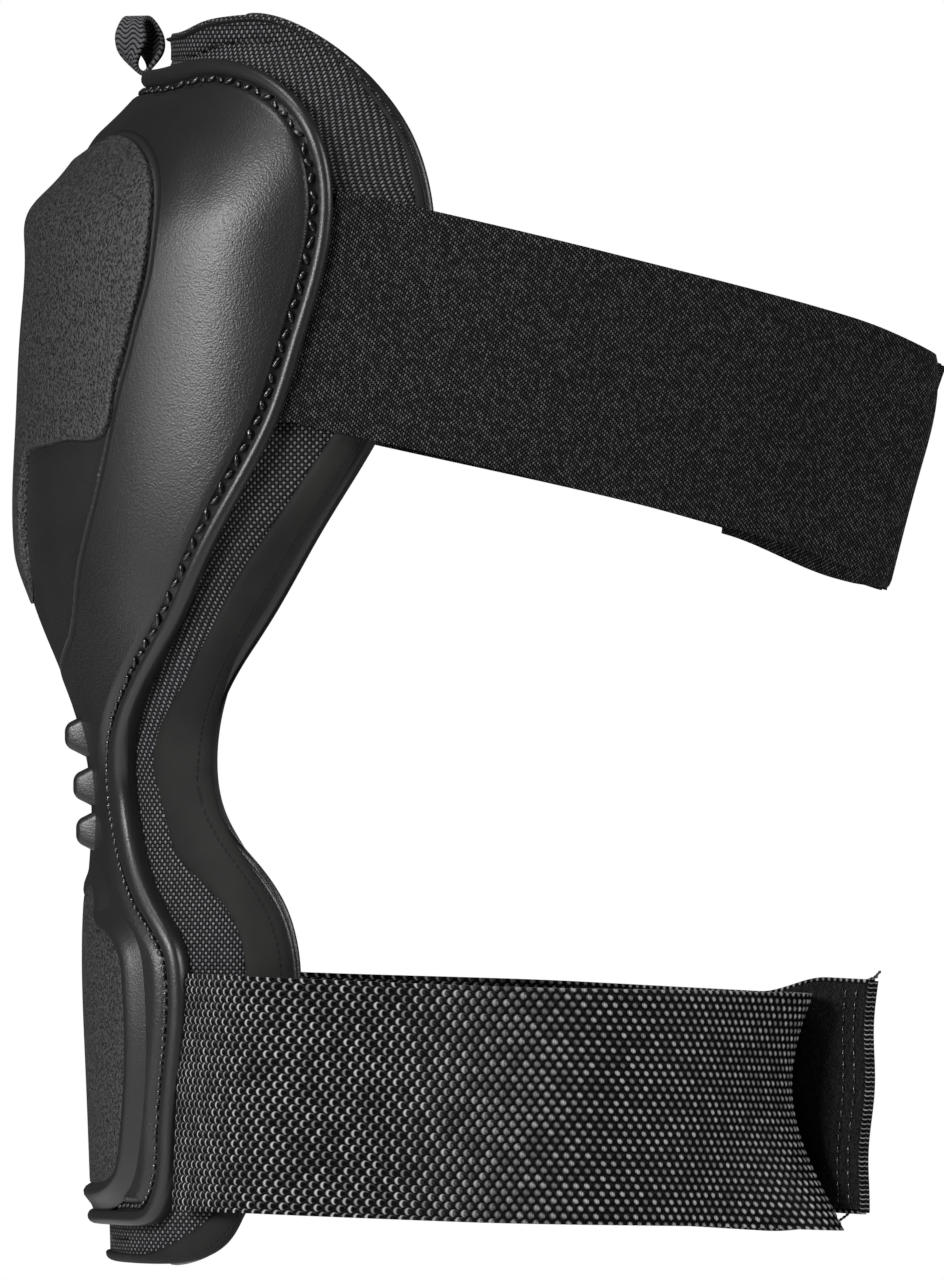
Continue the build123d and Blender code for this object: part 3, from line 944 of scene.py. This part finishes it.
def tape(spec, far, span, wide, low, high, fuzz, rng):
    """Flat piece on the last span millimetres of a half, from low to high off its middle."""
    line = strap_line(spec, far, LINE_POINTS)
    w = np.linspace(-wide / 2, wide / 2, TAPE_ROWS)
    along = lengths(line)
    keep = int(np.argmax(along >= along[-1] - span))
    noise = np.array([[rng.uniform(-fuzz, fuzz) for _ in line[keep:]] for _ in w])
    full = np.ones((TAPE_ROWS, LINE_POINTS))
    top, steps = strap_points(spec, far, line, w, full * high)
    foot, _ = strap_points(spec, far, line, w, full * low)
    top, foot, s = top[:, keep:], foot[:, keep:], steps[None, keep:] + 0 * noise
    top = top + (top - foot) * noise[..., None]
    bm = bmesh.new()
    lattice(bm, top, s, w[:, None])
    lattice(bm, foot[::4, ::4], s[::4, ::4], w[::4, None])
    side_bm(bm, top, foot, s, w)
    return bm


def hem_stitches(spec, line):
    """Two rows of stitches through the hem, on both of its faces."""
    steps, w, spots = lengths(line), np.linspace(-23, 23, 19), []
    for row in (2.2, 5.4):
        k = int(np.searchsorted(steps, steps[-1] - row))
        for out in (-1.95, 2.35):
            points, _ = strap_points(spec, True, line, w, np.full((len(w), len(line)), out))
            for a, b in zip(points[:-1, k], points[1:, k]):
                spots.append(((a + b) / 2, b - a, 2.1))
    return spots


def thread_ends(spec, line):
    """Loose ends of thread at the corners of the hem: place, distance in, length and lean."""
    steps, spots, parts = lengths(line), [], 5
    for at, row, reach, lean in ((24.2, 2.0, 3.4, 0.5), (24.6, 3.4, 2.6, 1.6),
                                 (-24.4, 5.0, 4.2, -0.8)):
        k = int(np.searchsorted(steps, steps[-1] - row))
        foot = strap_points(spec, True, line, np.array([at, 0.0]),
                            np.full((2, len(line)), 1.8))[0]
        start, up = foot[0, k], np.array([0, lean, math.copysign(1.0, at)])
        for _ in range(parts):
            up = up + np.array([0.1, 0.22 * lean, 0])
            step = up / np.linalg.norm(up) * reach / parts
            spots.append((start + step / 2, step, reach / parts + 0.2))
            start = start + step
    return spots


def build_closures(seed):
    """Hook patch, pile lining, hem and hem stitching at the ends of the halves."""
    rng = random.Random(seed)
    for name, spec in STRAPS.items():
        coarse = name == "lower"
        near_body, far_body = f"{name}_near_half", f"{name}_far_half"
        lining = spec["grip"] + spec["past"] + (20 if coarse else 0)
        # label, far half, span, width, low, high, fuzz, material, slot, node, body
        for (label, far, span, wide, low, high, fuzz, material, slot, node, body) in (
                ("hooks", False, spec["grip"] - 3, 46, 1.0, 1.9, 0.0, "hooks", "hook_tape",
                 "hook_patch", near_body),
                ("pile", True, lining, 48, -1.0, -1.8, 0.35, "pile", "pile_tape",
                 "pile_lining", far_body),
                ("hem", True, 8.5, 49.4, 1.05, 2.2, 0.0, spec["paint"], spec["slot"],
                 None, far_body)):
            bm = tape(spec, far, span, wide, low, high, fuzz, rng)
            obj = finish_mesh(bm, f"{name}_{label}", paint(material))
            if node:
                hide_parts(f"{name}_{node}")
            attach(obj, body)

        line = strap_line(spec, True, LINE_POINTS)
        spots = hem_stitches(spec, line) + (thread_ends(spec, line) if coarse else [])
        obj = capsules(f"{name}_hem_stitches", spots, paint("thread"), 0.32)
        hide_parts(f"{name}_hem_stitching")
        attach(obj, far_body)


# -------------------- stage
def build_stage(distance, white):
    """Floor, studio world, area lights and the side view camera."""
    scene = bpy.context.scene
    bm = bmesh.new()
    bmesh.ops.create_grid(bm, x_segments=1, y_segments=1, size=0.45,
                          matrix=Matrix.Translation((0, 0, -0.30)))
    p = Paint("floor")
    floor = finish_mesh(bm, "floor", p.done((0.9, 0.9, 0.9), 0.9))

    world = bpy.data.worlds.new("studio")
    scene.world = world
    world.use_nodes = True
    tree = world.node_tree
    tree.nodes.clear()
    out = tree.nodes.new("ShaderNodeOutputWorld")
    back = tree.nodes.new("ShaderNodeBackground")
    path = tree.nodes.new("ShaderNodeLightPath")
    ray = Value(tree, path.outputs["Is Camera Ray"])
    back.inputs["Color"].default_value = (1, 1, 1, 1)
    feed(tree, ray * (white - 0.035) + 0.035, back.inputs["Strength"])
    tree.links.new(back.outputs[0], out.inputs[0])

    target = Vector((0, 0.0785, -0.0464))
    lights = (("key", (1.0, -0.85, 0.34), 0.40, 17), ("stripe", (0.5, -1.05, 0.12), 0.14, 2.5),
              ("top", (0.45, -0.35, 1.15), 0.45, 8), ("front", (0.1, -1.2, -0.6), 0.4, 1.2),
              ("back", (0.55, 1.15, 0.35), 0.4, 9), ("far", (-0.9, 0.3, 0.4), 0.6, 3))
    for name, where, size, power in lights:
        data = bpy.data.lights.new(name, "AREA")
        data.size, data.energy = size, power
        lamp = bpy.data.objects.new(name, data)
        scene.collection.objects.link(lamp)
        lamp.location = where
        lamp.rotation_euler = (target - lamp.location).to_track_quat("-Z", "Y").to_euler()

    data = bpy.data.cameras.new("camera")
    camera = bpy.data.objects.new("camera", data)
    scene.collection.objects.link(camera)
    camera.location = target + Vector((distance, 0, 0))
    camera.rotation_euler = (target - camera.location).to_track_quat("-Z", "Y").to_euler()
    data.lens = 36 * (distance - 0.065) / 0.2701
    scene.camera = camera
    scene.view_settings.view_transform = "Standard"


# -------------------- add-on
class GuardSettings(bpy.types.PropertyGroup):
    """Mesh density and seed"""
    rows: bpy.props.IntProperty(
        name="Rows", description="Rows from the shell's edge to its middle", default=56)
    columns: bpy.props.IntProperty(
        name="Columns", description="Columns round the shell's edge", default=440)
    seed: bpy.props.IntProperty(
        name="Seed", description="Seed of the small irregularities", default=7)


class StageSettings(bpy.types.PropertyGroup):
    """Camera and backdrop"""
    distance: bpy.props.FloatProperty(
        name="Distance", description="Distance of the camera", default=6.0, unit="LENGTH")
    white: bpy.props.FloatProperty(
        name="White", description="Brightness of the backdrop", default=1.0)


class Builder:
    """Runs the build step of an operator."""

    def execute(self, context):
        self.build(context.scene.guard, context.scene.guard_stage)
        return {"FINISHED"}


class GUARD_OT_shell(Builder, bpy.types.Operator):
    """Build the moulded shell and its rim"""
    bl_idname, bl_label = "guard.shell", "Shell"

    def build(self, guard, stage):
        build_shell(guard.rows, guard.columns)


class GUARD_OT_ribs(Builder, bpy.types.Operator):
    """Build the three ribs of the flex zone"""
    bl_idname, bl_label = "guard.ribs", "Ribs"

    def build(self, guard, stage):
        build_ribs()


class GUARD_OT_panels(Builder, bpy.types.Operator):
    """Build the textured knee and shin panels"""
    bl_idname, bl_label = "guard.panels", "Panels"

    def build(self, guard, stage):
        build_panels()


class GUARD_OT_rim_stitching(Builder, bpy.types.Operator):
    """Build the stitches inside the rim"""
    bl_idname, bl_label = "guard.rim_stitching", "Rim stitching"

    def build(self, guard, stage):
        build_rim_stitching(guard.seed)


class GUARD_OT_base_fabric(Builder, bpy.types.Operator):
    """Build the woven base round the shell"""
    bl_idname, bl_label = "guard.base_fabric", "Base fabric"

    def build(self, guard, stage):
        build_base_fabric(CLOTH_ROWS, guard.columns)


class GUARD_OT_foam(Builder, bpy.types.Operator):
    """Build the moulded foam border"""
    bl_idname, bl_label = "guard.foam", "Foam"

    def build(self, guard, stage):
        build_foam(guard.columns)


class GUARD_OT_liner(Builder, bpy.types.Operator):
    """Build the quilted liner and its lip"""
    bl_idname, bl_label = "guard.liner", "Liner"

    def build(self, guard, stage):
        build_liner(CLOTH_ROWS, guard.columns)


class GUARD_OT_pull_loop(Builder, bpy.types.Operator):
    """Build the webbing loop at the top"""
    bl_idname, bl_label = "guard.pull_loop", "Pull loop"

    def build(self, guard, stage):
        build_pull_loop()


class GUARD_OT_straps(Builder, bpy.types.Operator):
    """Build the four strap halves"""
    bl_idname, bl_label = "guard.straps", "Straps"

    def build(self, guard, stage):
        build_straps()


class GUARD_OT_closures(Builder, bpy.types.Operator):
    """Build hook patches, pile linings, hems and hem stitches"""
    bl_idname, bl_label = "guard.closures", "Closures"

    def build(self, guard, stage):
        build_closures(guard.seed)


class GUARD_OT_stage(Builder, bpy.types.Operator):
    """Build the floor, lights and camera"""
    bl_idname, bl_label = "guard.stage", "Stage"

    def build(self, guard, stage):
        build_stage(stage.distance, stage.white)


OPERATORS = Builder.__subclasses__()  # in the order they are written


class GUARD_PT_panel(bpy.types.Panel):
    """Sidebar panel of the knee guard"""
    bl_label = "Knee guard"
    bl_space_type = "VIEW_3D"
    bl_region_type = "UI"
    bl_category = "Knee guard"

    def draw(self, context):
        for settings in (context.scene.guard, context.scene.guard_stage):
            for key in settings.__annotations__:
                self.layout.prop(settings, key)
        for cls in OPERATORS:
            self.layout.operator(cls.bl_idname)


CLASSES = [GuardSettings, StageSettings, *OPERATORS, GUARD_PT_panel]


def register():
    for cls in CLASSES:
        bpy.utils.register_class(cls)
    bpy.types.Scene.guard = bpy.props.PointerProperty(type=GuardSettings)
    bpy.types.Scene.guard_stage = bpy.props.PointerProperty(type=StageSettings)


def unregister():
    del bpy.types.Scene.guard, bpy.types.Scene.guard_stage
    for cls in reversed(CLASSES):
        bpy.utils.unregister_class(cls)


def main():
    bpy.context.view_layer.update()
    register()
    for cls in OPERATORS:
        getattr(bpy.ops.guard, cls.bl_idname.split(".")[1])()


if __name__ == "__main__":
    main()
